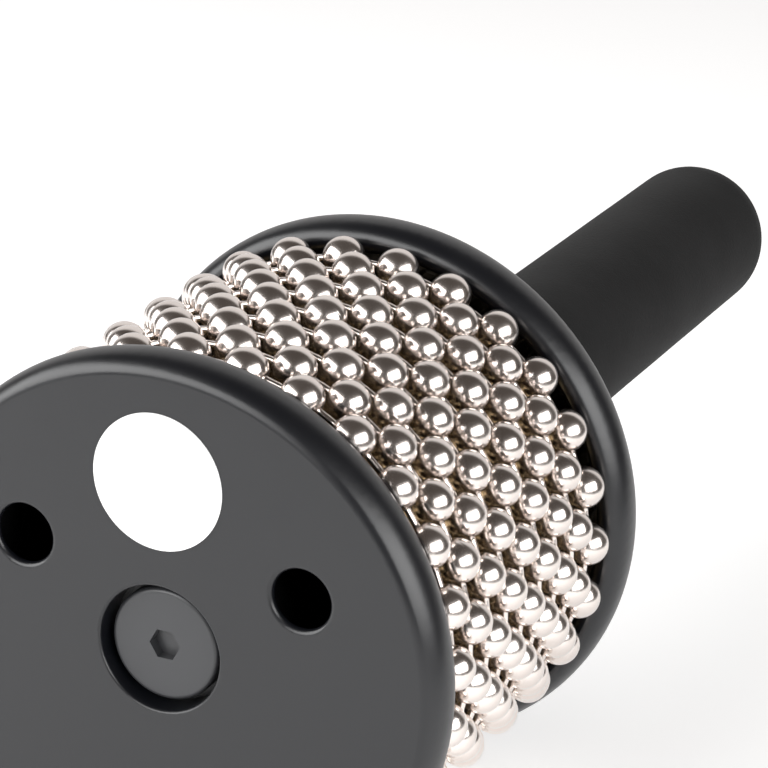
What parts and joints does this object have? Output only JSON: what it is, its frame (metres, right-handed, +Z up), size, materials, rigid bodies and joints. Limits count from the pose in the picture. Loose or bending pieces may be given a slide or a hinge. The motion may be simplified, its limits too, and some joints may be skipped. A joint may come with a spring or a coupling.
{
  "type": "cabasa",
  "caption": "Cabasa: drum with a textured steel skin between two black rolled-rim caps, loose loops of bead chain that turn round it, and a foam-covered handle.",
  "frame": {"origin": "on the floor under the middle of the whole length, with the cabasa lying on its two cap rims", "axes": "+Y along the drum axis from the front cap to the handle, +Z up, +X to the right of someone facing the front cap"},
  "size_m": [0.102, 0.2568, 0.102],
  "materials": {
    "black_cap": "satin black paint",
    "white_label": "blank white vinyl",
    "textured_steel": "ridged steel sheet",
    "black_moulding": "moulded",
    "black_bolt": "black finish",
    "plain_steel": "zinc plated",
    "dowel_wood": "bare hardwood",
    "insert_brass": "machined",
    "black_foam": "matte closed-cell foam",
    "nickel_bead": "polished nickel",
    "nickel_link": "polished nickel"
  },
  "bodies": {
    "drum": {"front_cap": "black_cap", "rear_cap": "black_cap", "blank_label": "white_label", "drum_skin": "textured_steel", "drum_core": "black_moulding", "tie_bolt": "black_bolt", "bolt_washer": "plain_steel", "locating_pins": "plain_steel", "handle_core": "dowel_wood", "handle_insert": "insert_brass", "handle_grip": "black_foam"},
    "loop_1": {"loop_1_beads": "nickel_bead", "loop_1_links": "nickel_link"},
    "loop_2": {"loop_2_beads": "nickel_bead", "loop_2_links": "nickel_link"},
    "loop_3": {"loop_3_beads": "nickel_bead", "loop_3_links": "nickel_link"},
    "loop_4": {"loop_4_beads": "nickel_bead", "loop_4_links": "nickel_link"},
    "loop_5": {"loop_5_beads": "nickel_bead", "loop_5_links": "nickel_link"},
    "loop_6": {"loop_6_beads": "nickel_bead", "loop_6_links": "nickel_link"},
    "loop_7": {"loop_7_beads": "nickel_bead", "loop_7_links": "nickel_link"},
    "loop_8": {"loop_8_beads": "nickel_bead", "loop_8_links": "nickel_link"},
    "loop_9": {"loop_9_beads": "nickel_bead", "loop_9_links": "nickel_link"}
  },
  "joints": [
    {"name": "loop_1_turn", "type": "hinge", "parent": "drum", "child": "loop_1", "pos_m": [0, -0.11228, 0.051], "axis": [0, 1, 0], "continuous": true},
    {"name": "loop_2_turn", "type": "hinge", "parent": "drum", "child": "loop_2", "pos_m": [0, -0.10519, 0.051], "axis": [0, 1, 0], "continuous": true},
    {"name": "loop_3_turn", "type": "hinge", "parent": "drum", "child": "loop_3", "pos_m": [0, -0.09809, 0.051], "axis": [0, 1, 0], "continuous": true},
    {"name": "loop_4_turn", "type": "hinge", "parent": "drum", "child": "loop_4", "pos_m": [0, -0.091, 0.051], "axis": [0, 1, 0], "continuous": true},
    {"name": "loop_5_turn", "type": "hinge", "parent": "drum", "child": "loop_5", "pos_m": [0, -0.0839, 0.051], "axis": [0, 1, 0], "continuous": true},
    {"name": "loop_6_turn", "type": "hinge", "parent": "drum", "child": "loop_6", "pos_m": [0, -0.0768, 0.051], "axis": [0, 1, 0], "continuous": true},
    {"name": "loop_7_turn", "type": "hinge", "parent": "drum", "child": "loop_7", "pos_m": [0, -0.06971, 0.051], "axis": [0, 1, 0], "continuous": true},
    {"name": "loop_8_turn", "type": "hinge", "parent": "drum", "child": "loop_8", "pos_m": [0, -0.06261, 0.051], "axis": [0, 1, 0], "continuous": true},
    {"name": "loop_9_turn", "type": "hinge", "parent": "drum", "child": "loop_9", "pos_m": [0, -0.05552, 0.051], "axis": [0, 1, 0], "continuous": true}
  ],
  "couplings": [
    {"joint": "loop_2_turn", "follows": "loop_1_turn", "ratio": 1},
    {"joint": "loop_3_turn", "follows": "loop_1_turn", "ratio": 1},
    {"joint": "loop_4_turn", "follows": "loop_1_turn", "ratio": 1},
    {"joint": "loop_5_turn", "follows": "loop_1_turn", "ratio": 1},
    {"joint": "loop_6_turn", "follows": "loop_1_turn", "ratio": 1},
    {"joint": "loop_7_turn", "follows": "loop_1_turn", "ratio": 1},
    {"joint": "loop_8_turn", "follows": "loop_1_turn", "ratio": 1},
    {"joint": "loop_9_turn", "follows": "loop_1_turn", "ratio": 1}
  ]
}
